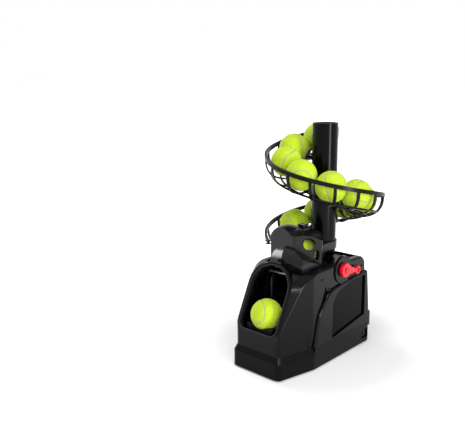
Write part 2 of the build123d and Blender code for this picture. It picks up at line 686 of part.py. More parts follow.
def on_rack(radius, drop, angle):
    """Point of the rack at a distance from the column's axis, drop below the rim's top."""
    return Vector(radius * cos(radians(angle)), COLUMN_Y + radius * sin(radians(angle)), rim_z(angle) - drop)


def helical_bar(section, radius, drop, start, end):
    """Bar of a flat section following the rack."""
    height = rim_z(start) - rim_z(end)
    path = Helix(PITCH, height, radius, lefthand=True)
    place = Pos(0, COLUMN_Y, rim_z(end) - drop) * Rot(0, 0, end)
    face = Plane(origin=path @ 0, x_dir=(1, 0, 0), z_dir=path % 0) * section
    return place * sweep(face, path=path, is_frenet=True)


# (outwards from the ball track, down from the ball's centre)
RIB_PATH = [
    (44.6, -8), (44.8, 4), (42.4, 15), (38, 23.5), (32.5, 29.5), (22, 35), (11, 37.6),
    (0, 38.6), (-14, 38.6), (-28, 33.5), (-38, 19), (-42.6, 4),
]
RAILS = [(32.5, 29.5), (12, 35.8), (-14, 36.3), (-42.6, 5)]
RIB_W, RIB_T = 6.4, 3.2


def rack_rib(angle):
    """Flat bar bent to a U under the balls."""
    path = Spline(*[on_rack(TRACK_R + dr, BALL_DROP + dz, angle) for dr, dz in RIB_PATH])
    across = (-sin(radians(angle)), cos(radians(angle)), 0)
    return sweep(Plane(origin=path @ 0, x_dir=across, z_dir=path % 0) * Rectangle(RIB_W, RIB_T), path=path)


def rack_section(start, end):
    """Length of the rack between two of its joints: flat rim, four rails and the ribs that carry them."""
    pieces = [helical_bar(Rectangle(RIM_W, RIM_T), RIM_R - RIM_W / 2, RIM_T / 2, start, end)]
    rail_end = min(end, FLOOR_END)
    for dr, dz in RAILS:
        pieces.append(helical_bar(Circle(RAIL_R), TRACK_R + dr, BALL_DROP + dz, start, rail_end))
    first = int(start // RIB_STEP) + 1
    ribs = [k * RIB_STEP for k in range(first, first + 40) if start < k * RIB_STEP < rail_end]
    pieces += [rack_rib(angle) for angle in ribs]
    return pieces[0].fuse(*pieces[1:])


SECTION_JOINTS = [RACK_START, 236.0, 349.0, 462.0, RACK_END]
SECTION_NAMES = ["rack_top_section", "rack_upper_section", "rack_lower_section", "rack_exit_section"]
CLAMP_ANGLES = [123.0, 200.0, 383.0]
CLAMP_H = 10.0
CLAMP_T = 2.0
CLAMP_FROM = 12.0            # a clamp's saddle covers the column from this far out towards its spoke


def rack_pieces():
    for name, start, end in zip(SECTION_NAMES, SECTION_JOINTS, SECTION_JOINTS[1:]):
        gap = degrees(GAP / 2 / RIM_R)
        section = rack_section(start + gap, end - gap)
        if end == RACK_END:
            tip = on_rack(RIM_R - RIM_W / 2, RIM_T / 2, RACK_END - 0.6)
            tab = Rot(0, 0, RACK_END) * Box(15, 4, 1.8)
            tabs = [Pos(*(tip + Vector(0, 0, dz))) * tab for dz in (3.4, -3.4)]
            section = section.fuse(*tabs, Pos(*tip) * Rot(0, 0, RACK_END) * Box(3, 4, 7))
        save(name, section)
    clamps = []
    for angle in CLAMP_ANGLES:
        rail_r = TRACK_R + RAILS[3][0]
        rail = on_rack(rail_r, BALL_DROP + RAILS[3][1], angle)
        place = Pos(0, COLUMN_Y, rail.Z) * Rot(0, 0, angle)
        ring = Cylinder(TUBE_R + CLAMP_T, CLAMP_H) - Cylinder(TUBE_R + FIT, CLAMP_H)
        saddle = ring & block(CLAMP_FROM, 40, -40, 40, -CLAMP_H / 2, CLAMP_H / 2)
        spoke = block(TUBE_R + CLAMP_T / 2, rail_r - RAIL_R - GAP, -3, 3, -2.5, 2.5)
        clamps.append(place * (saddle + spoke))
    save("rack_clamps", group(clamps))
    centres = [on_rack(TRACK_R, BALL_DROP, LAST_BALL - k * BALL_STEP) for k in range(BALLS_IN_RACK)]
    save("rack_balls", group([Pos(*centre) * tennis_ball() for centre in centres]))


def tennis_ball():
    """Hollow rubber core with its felt."""
    return Sphere(BALL_R) - Sphere(BALL_CORE_R)


def tube(z0, z1):
    return upright(0, COLUMN_Y, TUBE_R, z0, z1) - upright(0, COLUMN_Y, TUBE_R - TUBE_T, z0 - 1, z1 + 1)


def column_pieces():
    save("lower_tube", tube(SOCKET_FLOOR, TUBE_JOINT_Z))
    top = tube(TUBE_JOINT_Z, COLUMN_TOP)
    spigot = upright(0, COLUMN_Y, TUBE_R - TUBE_T - FIT, TUBE_JOINT_Z - 18, TUBE_JOINT_Z + 1)
    spigot += upright(0, COLUMN_Y, TUBE_R - 0.5, TUBE_JOINT_Z, TUBE_JOINT_Z + 4)
    top += spigot - upright(0, COLUMN_Y, TUBE_R - 2 * TUBE_T, 0, 600)
    save("upper_tube", top)


# ------------------------------------------------------------------------------ throwing mechanism
def rotated_in_yz(y, z, radius, angle):
    return y + radius * cos(radians(angle)), z + radius * sin(radians(angle))


def arm_home():
    """Angle of the arm at home: its pad stands just behind the waiting ball."""
    away = hypot(SEAT_Y - ARM_Y, SEAT_Z - ARM_Z)
    reach = sqrt(away ** 2 - (PAD_FACE + BALL_R + SEAM) ** 2)
    return degrees(atan2(SEAT_Z - ARM_Z, SEAT_Y - ARM_Y)) + degrees(atan2(PAD_FACE + BALL_R + SEAM, reach))


def arm_pieces():
    home = arm_home()
    frame = Pos(0, ARM_Y, ARM_Z) * Rot(home, 0, 0)
    bars = []
    for side in (-1, 1):
        x0, x1 = sorted((side * SIDE_BAR_IN, side * SIDE_BAR_OUT))
        bars.append(block(x0, x1, 0, BLADE_OUT, -5, 5))
        bars.append(cross_rod(0, 0, 8, x0, x1))
    blade = block(-SIDE_BAR_OUT, SIDE_BAR_OUT, BLADE_IN, BLADE_OUT, -BLADE_T / 2, BLADE_T / 2)
    arm = frame * (blade + bars)
    y, z = rotated_in_yz(ARM_Y, ARM_Z, ROLLER_ARM, ROLLER_ANGLE)
    tail = block(SIDE_BAR_IN, SIDE_BAR_OUT, 0, ROLLER_ARM, -4, 4)
    arm += Pos(0, ARM_Y, ARM_Z) * Rot(ROLLER_ANGLE, 0, 0) * tail
    arm += cross_rod(y, z, 4.5, SIDE_BAR_IN, SIDE_BAR_OUT)
    arm += cross_rod(y, z, STUD_R, SIDE_BAR_OUT, CAM_X1 + 1.5)
    roller = cross_rod(y, z, ROLLER_R, CAM_X0, CAM_X1) - cross_rod(y, z, STUD_R + FIT, CAM_X0 - 1, CAM_X1 + 1)
    save("cam_roller", roller)
    y, z = rotated_in_yz(ARM_Y, ARM_Z, SPRING_ARM, SPRING_ANGLE)
    tail = block(-SIDE_BAR_OUT, -SIDE_BAR_IN, 0, SPRING_ARM, -4, 4)
    arm += Pos(0, ARM_Y, ARM_Z) * Rot(SPRING_ANGLE, 0, 0) * tail
    arm += cross_rod(y, z, 4, -SIDE_BAR_OUT, -SIDE_BAR_IN) + cross_rod(y, z, 1.5, SPRING_X - 3, -SIDE_BAR_OUT)
    arm -= cross_rod(ARM_Y, ARM_Z, ARM_SHAFT_R + FIT, -90, 90)
    save("throw_arm", arm)
    pad = block(-30, 30, BLADE_IN + 2, BLADE_OUT - 2, -PAD_FACE, -BLADE_T / 2)
    save("arm_pad", frame * pad)
    save("arm_shaft", cross_rod(ARM_Y, ARM_Z, ARM_SHAFT_R, LEFT_PLATE_X, OUTER_PLATE_X + PLATE_T))
    spring = extension_spring(SPRING_X, y, SPRING_FOOT_Z + 6, z - 10)
    save("throw_spring", spring)


def extension_spring(x, y, z0, z1):
    """Sleeve of the coil's size with a wire tail at each end."""
    body = upright(0, 0, SPRING_R, 0, z1 - z0) - upright(0, 0, SPRING_R - 2 * SPRING_WIRE_R, -1, z1 - z0 + 1)
    foot = upright(SPRING_R - SPRING_WIRE_R, 0, SPRING_WIRE_R, -7, 1)
    head = upright(SPRING_R - SPRING_WIRE_R, 0, SPRING_WIRE_R, z1 - z0 - 1, z1 - z0 + 8)
    return Pos(x, y, z0) * (body + foot + head)


def cam_centre():
    """Cam shaft, placed so that the roller is CAM_BASE away at home and pushed straight out."""
    y, z = rotated_in_yz(ARM_Y, ARM_Z, ROLLER_ARM, ROLLER_ANGLE)
    along = ROLLER_ANGLE + 90 + ARM_WIND / 2
    return y - CAM_BASE * cos(radians(along)), z - CAM_BASE * sin(radians(along))


def cam_outline():
    """Snail cam that winds the arm evenly: the roller's path in the cam's frame, moved in by its radius."""
    cy, cz = cam_centre()
    path = []
    for k in range(-1, 42):
        swing = ARM_WIND * k / 40
        y, z = rotated_in_yz(ARM_Y, ARM_Z, ROLLER_ARM, ROLLER_ANGLE + swing)
        u, v = y - cy, z - cz
        turn = radians(-CAM_RATIO * swing)
        path.append(Vector(u * cos(turn) - v * sin(turn), u * sin(turn) + v * cos(turn)))
    points = []
    for before, here, after in zip(path, path[1:], path[2:]):
        along = (after - before).normalized()
        points.append(here + Vector(-along.Y, along.X) * (ROLLER_R + FIT))
    start, end = points[0], points[-1]
    low = start.length
    lead = atan2(start.Y, start.X)
    lead_in = [Vector(low * cos(lead - a), low * sin(lead - a)) for a in (0.35, 0.2)]
    flank = Spline(*points)
    edges = [flank, Line(end, lead_in[0]), Line(lead_in[0], lead_in[1]), Line(lead_in[1], start)]
    return make_face(Wire(edges))


def gear_outline(teeth, module, phase):
    """Involute spur gear with a tooth centred on phase (radians)."""
    pitch_r = teeth * module / 2
    base_r = pitch_r * cos(radians(GEAR_PRESSURE))
    tip_r = pitch_r + module
    root_r = pitch_r - 1.25 * module
    involute = tan(radians(GEAR_PRESSURE)) - radians(GEAR_PRESSURE)
    half_tooth = pi / (2 * teeth) - BACKLASH / 2 / pitch_r + involute
    flank = []
    first = max(base_r, root_r + 0.2 * module)
    for k in range(5):
        r = first + (tip_r - first) * k / 4
        spread = sqrt(max((r / base_r) ** 2 - 1, 0))
        flank.append((r, half_tooth - (spread - atan2(spread, 1))))
    flank.insert(0, (root_r, flank[0][1] + 0.004))
    points = []
    for tooth in range(teeth):
        centre = phase + 2 * pi * tooth / teeth
        points += [(r, centre - a) for r, a in flank]
        points += [(r, centre + a) for r, a in reversed(flank)]
    corners = [(r * cos(a), r * sin(a)) for r, a in points]
    return make_face(Polyline(*corners, close=True))


def gear(y, z, teeth, module, phase, x0, x1):
    wheel = Pos(y, z) * gear_outline(teeth, module, phase)
    return extrude(Plane.YZ.offset(x0) * wheel, x1 - x0, dir=(1, 0, 0))


def drive_pieces():
    cy, cz = cam_centre()
    first, second = radians(IDLER_DIRECTION), radians(MOTOR_DIRECTION)
    reach = DRIVE_MODULE * (CAM_GEAR_TEETH + PINION_TEETH) / 2
    iy, iz = cy + reach * cos(first), cz + reach * sin(first)
    reach = FAST_MODULE * (IDLER_TEETH + PINION_TEETH) / 2
    my, mz = iy + reach * cos(second), iz + reach * sin(second)

    cam = extrude(Plane.YZ.offset(CAM_X0) * (Pos(cy, cz) * cam_outline()), CAM_X1 - CAM_X0, dir=(1, 0, 0))
    save("cam", cam - cross_rod(cy, cz, CAM_SHAFT_R, 0, 90))
    wheel = gear(cy, cz, CAM_GEAR_TEETH, DRIVE_MODULE, first, CAM_X1 + 1.5, CAM_X1 + 6.5)
    for k in range(5):
        hole = rotated_in_yz(cy, cz, 20, 36 + 72 * k)
        wheel -= cross_rod(*hole, 6.5, 50, 70)
    wheel += cross_rod(cy, cz, 7, CAM_X1, CAM_X1 + 1.5)
    save("cam_gear", wheel + cross_rod(cy, cz, CAM_SHAFT_R, INNER_PLATE_X, OUTER_PLATE_X + PLATE_T))

    space = first + pi + pi / PINION_TEETH
    pinion = gear(iy, iz, PINION_TEETH, DRIVE_MODULE, space, 57, 63)
    idler = gear(iy, iz, IDLER_TEETH, FAST_MODULE, second, 64, 67.5) + cross_rod(iy, iz, 6, 63, 64)
    for k in range(6):
        hole = rotated_in_yz(iy, iz, 16, 30 + 60 * k)
        idler -= cross_rod(*hole, 4.5, 63.5, 70)
    save("idler_gear", pinion + idler + cross_rod(iy, iz, 2.0, INNER_PLATE_X, OUTER_PLATE_X + PLATE_T))
    space = second + pi + pi / PINION_TEETH
    pinion = gear(my, mz, PINION_TEETH, FAST_MODULE, space, 63.5, 68)
    save("motor_pinion", pinion + cross_rod(my, mz, 1.25, INNER_PLATE_X - 6, 68.6))
    motor = cross_rod(my, mz, MOTOR_R, INNER_PLATE_X - MOTOR_LENGTH, INNER_PLATE_X)
    motor += cross_rod(my, mz, 4.5, INNER_PLATE_X - MOTOR_LENGTH - 3, INNER_PLATE_X - MOTOR_LENGTH)
    save("motor", motor - cross_rod(my, mz, 1.25 + FIT, INNER_PLATE_X - 6.5, INNER_PLATE_X + 1))

    floor = FOOT_H + WALL
    inner = side_prism(
        [(92, floor), (150, floor), (150, 124, 8), (118, 163, 8), (98, 163, 8), (92, 140, 8)],
        INNER_PLATE_X, INNER_PLATE_X + PLATE_T,
    )
    inner += block(28, INNER_PLATE_X + PLATE_T, 92, 150, floor, floor + PLATE_T)
    inner -= cross_rod(cy, cz, CAM_SHAFT_R + FIT, 40, 60) + cross_rod(iy, iz, 2 + FIT, 40, 60)
    save("inner_plate", inner - cross_rod(my, mz, 5, 40, 60))
    outer = side_prism(
        [(92, floor), (146, floor), (146, 120, 8), (112, 197, 6), (94, 197, 4), (92, 140)],
        OUTER_PLATE_X, OUTER_PLATE_X + PLATE_T,
    )
    outer -= cross_rod(cy, cz, CAM_SHAFT_R + FIT, 60, 90) + cross_rod(iy, iz, 2 + FIT, 60, 90)
    save("outer_plate", outer - cross_rod(ARM_Y, ARM_Z, ARM_SHAFT_R + FIT, 60, 90))
    left = side_prism(
        [(92, floor), (138, floor), (138, 60, 6), (112, 197, 6), (93, 197, 5), (92, 140)],
        LEFT_PLATE_X, LEFT_PLATE_X + PLATE_T,
    )
    ay, az = rotated_in_yz(ARM_Y, ARM_Z, SPRING_ARM, SPRING_ANGLE)
    left += cross_rod(ay, SPRING_FOOT_Z, 2, LEFT_PLATE_X + 1, SPRING_X + 3)
    left += block(LEFT_PLATE_X, LEFT_PLATE_X + 12, 92, 138, floor, floor + PLATE_T)
    save("left_plate", left - cross_rod(ARM_Y, ARM_Z, ARM_SHAFT_R + FIT, -90, 0))


def ball_path_pieces():
    floor = FOOT_H + WALL
    front, back = RAMP_FRONT_Y, RAMP_BACK_Y
    low = RAMP_FRONT_Z
    high = low + RAMP_RISE * (back - front)
    section = [
        (front, low), (back, high), (back, high + 14),
        (back + RAMP_T, high + 14), (back + RAMP_T, high - RAMP_T), (front, low - RAMP_T),
    ]
    ramp = side_prism(section, -RAMP_HALF, RAMP_HALF)
    lip = [(front, low), (back, high), (back, high + 12), (front, low + 12)]
    for side in (-1, 1):
        x0, x1 = sorted((side * RAMP_HALF, side * (RAMP_HALF - RAMP_T)))
        ramp += side_prism(lip, x0, x1)
        x0, x1 = sorted((side * 34, side * 30))
        ramp += block(x0, x1, 158, 176, floor, low + RAMP_RISE * (158 - front) - 1)
    save("ball_ramp", ramp)

    cradle = block(-33, 33, 14, 57, 64, 101) + block(-20, 20, 20, 50, floor, 64)
    cradle -= Pos(0, SEAT_Y, SEAT_Z) * Sphere(BALL_R + GAP)
    out = Vector(0, -0.75, 0.66).normalized()
    start = Vector(0, SEAT_Y, SEAT_Z)
    cradle -= rod_between(start, start + out * 90, BALL_R + GAP)
    back = Vector(0, 1, 0.24).normalized()
    cradle -= rod_between(start, start + back * 60, BALL_R + GAP)
    save("ball_cradle", cradle)

    flap = block(-GATE_HALF, GATE_HALF, GATE_FRONT, GATE_Y - 7, GATE_TOP - GATE_T, GATE_TOP)
    flap += block(-16.4, 16.4, GATE_Y - 8, GATE_Y, GATE_TOP - GATE_T, GATE_TOP)
    flap += cross_rod(GATE_Y, GATE_Z, 3.2, -16.4, 16.4)
    save("feed_gate", flap - cross_rod(GATE_Y, GATE_Z, GATE_PIN_R + FIT, -30, 30))
    save("gate_pin", cross_rod(GATE_Y, GATE_Z, GATE_PIN_R, -22, 22))
    save("gate_ball", Pos(0, DROP_Y, DROP_Z) * tennis_ball())
    save("loaded_ball", Pos(0, SEAT_Y, SEAT_Z) * tennis_ball())


# ------------------------------------------------------------------------------ lever, power and fixings
def lever_pieces():
    face = EAR_OUT + SEAM
    tip = rotated_in_yz(EAR_Y, EAR_Z, LEVER_REACH, -LEVER_DROOP)
    lever = cross_rod(EAR_Y, EAR_Z, LEVER_HUB_R, face, face + LEVER_T)
    lever += cross_rod(*tip, LEVER_TIP_R, face, face + LEVER_T)
    neck = [(0, LEVER_HUB_R - 2.5), (LEVER_REACH * 0.72, 4.2), (LEVER_REACH, 5.5)]
    neck += [(along, -half) for along, half in reversed(neck)]
    lever += Pos(0, EAR_Y, EAR_Z) * Rot(-LEVER_DROOP, 0, 0) * side_prism(neck, face, face + LEVER_T)
    lever = chamfer(lever.faces().sort_by(Axis.X)[-1].outer_wire().edges(), 1.2)
    lever -= cross_rod(*tip, LEVER_TIP_R - 3.5, face + LEVER_T - 2.5, face + LEVER_T + 1)
    lever -= cross_rod(EAR_Y, EAR_Z, LEVER_PIN_R + FIT, 60, 100)
    save("speed_lever", lever)
    pin = cross_rod(EAR_Y, EAR_Z, LEVER_PIN_R, POD_T - WALL - 1, face + LEVER_T + 0.2)
    pin += cross_rod(EAR_Y, EAR_Z, 6.5, face + LEVER_T + 0.2, face + LEVER_T + 1.8)
    pin += cross_rod(EAR_Y, EAR_Z, 6.5, POD_T - WALL - 3, POD_T - WALL - 0.2)
    save("lever_pin", pin)


def power_pieces():
    floor = FOOT_H + WALL
    half = CELL_LENGTH / 2 + 3
    z0 = 80.0
    y0 = 214.0
    pitch = CELL_D + GAP
    depth = height = 2 * pitch + GAP
    box = block(-half - 2, half + 2, y0 - 2, y0 + depth, z0 - 2, z0 + height + 2)
    box -= block(-half, half, y0, y0 + depth + 5, z0, z0 + height)
    for side in (-1, 1):
        x0, x1 = sorted((side * (half + 2), side * (half - 4)))
        box += block(x0, x1, y0 + 4, y0 + 64, floor, z0 - 1)
    save("battery_box", box)
    cells = []
    for row in range(2):
        for layer in range(2):
            y = y0 + GAP + pitch * row + CELL_D / 2
            z = z0 + GAP + pitch * layer + CELL_D / 2
            cell = cross_rod(y, z, CELL_D / 2, -CELL_LENGTH / 2, CELL_LENGTH / 2)
            cells.append(cell + cross_rod(y, z, 4.5, CELL_LENGTH / 2 - 0.5, CELL_LENGTH / 2 + 1.5))
    save("cells", group(cells))
    board = block(-46, 46, 181, 212, floor + 5, floor + 6.6)
    board += block(-20, -4, 188, 202, floor + 6.6, floor + 9)
    board += upright(10, 194, 4, floor + 6.6, floor + 15) + upright(24, 194, 4, floor + 6.6, floor + 15)
    board += block(32, 44, 186, 198, floor + 6.6, floor + 13)
    save("circuit_board", board)


def screw(x, y, z, side):
    head = cross_rod(y, z, 3.2, x, x + 1.2)
    head -= block(x + 0.7, x + 2, y - 2.2, y + 2.2, z - 0.4, z + 0.4)
    head -= block(x + 0.7, x + 2, y - 0.4, y + 0.4, z - 2.2, z + 2.2)
    return head if side > 0 else mirrored(head)


def main():
    os.makedirs("parts", exist_ok=True)
    case_pieces()
    base_pieces()
    feeder_pieces()
    latch_pieces()
    column_pieces()
    rack_pieces()
    arm_pieces()
    drive_pieces()
    ball_path_pieces()
    lever_pieces()
    power_pieces()
    save("case_screws", group([screw(POD_T, y, z, side) for side in (-1, 1) for y, z in SCREWS]))


if __name__ == "__main__":
    main()
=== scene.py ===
# %% [markdown]
# # A tennis ball machine, dressed for the camera
# The solids of this machine come ready-made from its CAD model. This lesson gives them their finishes and
# swaps the plain spheres for real-looking tennis balls. Everything is in metres, with the floor at z = 0 and
# the balls thrown towards -Y.

# %% Load the solids
from math import cos, pi, radians, sin, sqrt

import bmesh
import bpy
import numpy as np
from mathutils import Euler, Matrix, Vector


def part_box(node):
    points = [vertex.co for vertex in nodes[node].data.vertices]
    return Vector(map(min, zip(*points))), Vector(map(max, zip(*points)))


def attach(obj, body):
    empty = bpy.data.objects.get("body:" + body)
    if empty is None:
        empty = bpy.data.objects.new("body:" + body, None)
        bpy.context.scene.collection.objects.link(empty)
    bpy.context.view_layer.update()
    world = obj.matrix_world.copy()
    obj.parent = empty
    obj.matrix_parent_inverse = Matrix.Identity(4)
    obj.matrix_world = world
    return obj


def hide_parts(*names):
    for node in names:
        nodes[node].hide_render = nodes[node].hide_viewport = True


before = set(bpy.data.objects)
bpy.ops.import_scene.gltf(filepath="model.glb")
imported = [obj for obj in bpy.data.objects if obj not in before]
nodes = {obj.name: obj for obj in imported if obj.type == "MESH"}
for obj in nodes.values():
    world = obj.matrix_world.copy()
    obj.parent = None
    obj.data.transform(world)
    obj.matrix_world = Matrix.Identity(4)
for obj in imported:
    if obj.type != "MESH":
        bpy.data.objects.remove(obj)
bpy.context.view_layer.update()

# %% [markdown]
# ## Helpers
# Colours are written the way a paint chart gives them, as sRGB hex, and one function turns them into the
# linear light that a renderer works in. A second small function adds a shader node with its settings and
# links, which keeps each material's recipe short enough to read in one go.

# %% Colour and node helpers
MM = 0.001
rng = np.random.default_rng(7)


def linear(hex_colour):
    channels = [int(hex_colour[i:i + 2], 16) / 255 for i in (1, 3, 5)]
    return tuple(c / 12.92 if c <= 0.04045 else ((c + 0.055) / 1.055) ** 2.4 for c in channels) + (1.0,)


def add(tree, kind, links=None, values=None, **settings):
    node = tree.nodes.new(kind)
    for name, value in settings.items():
        setattr(node, name, value)
    for key, value in (values or {}).items():
        node.inputs[key].default_value = value
    for key, source in (links or {}).items():
        tree.links.new(source, node.inputs[key])
    return node


def new_material(name):
    material = bpy.data.materials.new(name)
    material.use_nodes = True
    tree = material.node_tree
    surface = tree.nodes["Principled BSDF"]
    place = add(tree, "ShaderNodeTexCoord").outputs["Object"]
    return material, tree, surface, place


def finish_with(material, *names):
    for name in names:
        nodes[name].data.materials.clear()
        nodes[name].data.materials.append(material)


# %% [markdown]
# ## Black ABS, straight from a polished mould
# The case is injection-moulded ABS. Polished tool steel leaves it glossy, but the plastic shrinks a little as
# it cools, so a reflection in it is never quite straight: a slow ripple a few centimetres across, called
# orange peel. Handling adds faint patches where the gloss is duller. The shine is the shader's specular
# level. On the black parts it is kept under the 0.5 of real ABS, because the studio is white on every side
# and would turn black plastic grey.

# %% Glossy case plastic
PATCH_MM = 60
TINT_SPREAD = 0.12


def moulded_plastic(name, colour, roughness, ripple, grain, shine, spread):
    """Moulded plastic. Ripple and grain are each a pattern's size and depth in mm; the grain may also be
    None.
    """
    material, tree, surface, place = new_material(name)
    surface.inputs["IOR"].default_value = 1.53
    surface.inputs["Specular IOR Level"].default_value = shine
    patches = add(tree, "ShaderNodeTexNoise", {"Vector": place},
                  {"Scale": 1 / (PATCH_MM * MM), "Detail": 3.0})
    dull = add(tree, "ShaderNodeMapRange", {"Value": patches.outputs["Fac"]},
               {"From Min": 0.3, "From Max": 0.75,
                "To Min": roughness - spread / 2, "To Max": roughness + spread / 2})
    tree.links.new(dull.outputs["Result"], surface.inputs["Roughness"])
    tint = add(tree, "ShaderNodeMix", {"Factor": patches.outputs["Fac"]}, data_type="RGBA")
    base = linear(colour)
    tint.inputs["A"].default_value = tuple(c * (1 - TINT_SPREAD) for c in base[:3]) + (1.0,)
    tint.inputs["B"].default_value = tuple(min(1.0, c * (1 + TINT_SPREAD)) for c in base[:3]) + (1.0,)
    tree.links.new(tint.outputs["Result"], surface.inputs["Base Color"])
    size, depth = ripple
    height = add(tree, "ShaderNodeTexNoise", {"Vector": place}, {"Scale": 1 / (size * MM), "Detail": 1.0})
    bump = add(tree, "ShaderNodeBump", {"Height": height.outputs["Fac"]},
               {"Strength": 1.0, "Distance": depth * MM})
    if grain:
        size, depth = grain
        height = add(tree, "ShaderNodeTexNoise", {"Vector": place},
                     {"Scale": 1 / (size * MM), "Detail": 4.0, "Roughness": 0.7})
        bump = add(tree, "ShaderNodeBump",
                   {"Height": height.outputs["Fac"], "Normal": bump.outputs["Normal"]},
                   {"Strength": 1.0, "Distance": depth * MM})
    tree.links.new(bump.outputs["Normal"], surface.inputs["Normal"])
    return material


gloss_abs = moulded_plastic("black_abs_polished", "#060709", 0.18, (24, 0.03), None, 0.12, 0.06)
finish_with(gloss_abs, "front_fascia", "left_side_cover", "right_side_cover", "rear_cover", "rear_bumper")
print("polished ABS on the case")

# %% [markdown]
# ## The other mouldings
# The hood and the rack came out of moulds with a fine spark-eroded texture, which scatters light and reads as
# satin. The same recipe makes them by turning up the roughness and adding a grain about half a millimetre
# across. The column is extruded, so it has a long, slow ripple and no grain. The gears are acetal, a slippery
# white plastic that runs without oil.

# %% Satin, textured and coloured plastics
# name, colour, roughness, ripple and grain (size and depth in mm), shine, spread of the roughness, nodes
PLASTICS = (
    ("black_abs_satin", "#0c0d0f", 0.25, (30, 0.03), (0.5, 0.005), 0.2, 0.06,
     ("feeder_base", "upper_hood", "lower_hood", "hood_latch", "thumb_knob")),
    ("black_abs_spark_eroded", "#050607", 0.24, (40, 0.03), (0.6, 0.006), 0.08, 0.06,
     ("base_tray", "battery_door", "top_deck")),
    ("black_nylon_rack", "#050506", 0.28, (20, 0.03), (0.6, 0.006), 0.11, 0.06,
     ("rack_top_section", "rack_upper_section", "rack_lower_section", "rack_exit_section", "rack_clamps")),
    ("black_abs_extruded", "#020202", 0.2, (45, 0.02), None, 0.08, 0.02, ("lower_tube", "upper_tube")),
    ("black_abs_side_panel", "#030304", 0.2, (28, 0.03), None, 0.04, 0.06,
     ("left_side_inlay", "right_side_inlay")),
    ("dark_grey_abs_trim", "#1a1c1f", 0.22, (24, 0.02), (0.5, 0.005), 0.35, 0.06, ("mouth_trim",)),
    ("red_abs_lever", "#e00c26", 0.22, (16, 0.03), None, 0.3, 0.05, ("speed_lever",)),
    ("deep_red_abs_cap", "#b4061a", 0.22, (12, 0.02), None, 0.3, 0.05, ("lever_pin",)),
    ("dark_grey_abs_inner", "#0c0c0d", 0.5, (20, 0.03), (0.5, 0.02), 0.15, 0.06,
     ("ball_ramp", "ball_cradle", "feed_gate", "battery_box")),
    ("black_abs_fittings", "#0c0c0e", 0.4, (14, 0.03), (0.4, 0.01), 0.25, 0.06,
     ("dc_inlet", "power_rocker", "motor")),
    ("white_acetal_gears", "#e4e0d2", 0.35, (14, 0.02), None, 0.5, 0.06,
     ("cam", "cam_gear", "idler_gear", "motor_pinion", "cam_roller")),
    ("green_solder_mask", "#1d5b33", 0.35, (6, 0.02), None, 0.5, 0.06, ("circuit_board",)),
)
for *recipe, names in PLASTICS:
    finish_with(moulded_plastic(*recipe), *names)
print("other plastics:", len(PLASTICS))

# %% [markdown]
# ## Rubber and metal
# The feet and the pad on the arm are moulded rubber: dark, matt, and faintly dusty. The arm's shaft is zinc
# plated, the hinge pins are bright, the spring is dark tempered wire, and the arm, the plates and the screws
# are blackened with oxide. Drawing and brushing leave fine scratches along one direction, so the noise that
# stands for them is stretched along X. The cells' printed sleeves have a metallic sheen, and the same recipe
# makes them.

# %% Rubber and metal
RUBBER_DUST_MM = 5
rubber, tree, surface, place = new_material("black_moulded_rubber")
surface.inputs["Base Color"].default_value = linear("#1b1b1b")
surface.inputs["IOR"].default_value = 1.52
dust = add(tree, "ShaderNodeTexNoise", {"Vector": place}, {"Scale": 1 / (RUBBER_DUST_MM * MM), "Detail": 5.0})
rough = add(tree, "ShaderNodeMapRange", {"Value": dust.outputs["Fac"]}, {"To Min": 0.65, "To Max": 0.9})
bump = add(tree, "ShaderNodeBump", {"Height": dust.outputs["Fac"]}, {"Strength": 1.0, "Distance": 0.05 * MM})
tree.links.new(rough.outputs["Result"], surface.inputs["Roughness"])
tree.links.new(bump.outputs["Normal"], surface.inputs["Normal"])
finish_with(rubber, "feet", "arm_pad")


def brushed_metal(name, colour, roughness, scratch_mm):
    material, tree, surface, place = new_material(name)
    surface.inputs["Metallic"].default_value = 1.0
    surface.inputs["Base Color"].default_value = linear(colour)
    stretch = add(tree, "ShaderNodeMapping", {"Vector": place}, {"Scale": (0.06, 1.0, 1.0)})
    scratches = add(tree, "ShaderNodeTexNoise", {"Vector": stretch.outputs["Vector"]},
                    {"Scale": 1 / (scratch_mm * MM), "Detail": 3.0})
    rough = add(tree, "ShaderNodeMapRange", {"Value": scratches.outputs["Fac"]},
                {"To Min": roughness - 0.08, "To Max": roughness + 0.12})
    tree.links.new(rough.outputs["Result"], surface.inputs["Roughness"])
    bump = add(tree, "ShaderNodeBump", {"Height": scratches.outputs["Fac"]},
               {"Strength": 1.0, "Distance": 0.01 * MM})
    tree.links.new(bump.outputs["Normal"], surface.inputs["Normal"])
    return material


# name, colour, roughness, width of the scratches in mm, nodes
METALS = (
    ("zinc_plated_steel", "#b9bcc0", 0.38, 1.2, ("arm_shaft",)),
    ("bright_turned_steel", "#c9cbcf", 0.22, 0.8, ("door_pin", "gate_pin")),
    ("oil_tempered_spring_wire", "#55565a", 0.3, 0.8, ("throw_spring",)),
    ("printed_cell_sleeve", "#3a3f4c", 0.35, 2.0, ("cells",)),
    ("black_oxide_steel", "#2a2a2c", 0.4, 1.2,
     ("case_screws", "throw_arm", "inner_plate", "outer_plate", "left_plate")),
)
for *recipe, names in METALS:
    finish_with(brushed_metal(*recipe), *names)
print("metals:", len(METALS))

# %% [markdown]
# ## Tennis balls
# A tennis ball is two dog-bone pieces of felt glued on a rubber core, and the seam between them is one closed
# curve that a simple formula gives. The mesh is pressed in along that curve, and the felt gets a bright,
# slightly furry look: fine fibres in the bump, a soft sheen at the edges, and fluorescent yellow with paler,
# worn patches. One mesh is made, and each ball gets a copy of it turned its own way.

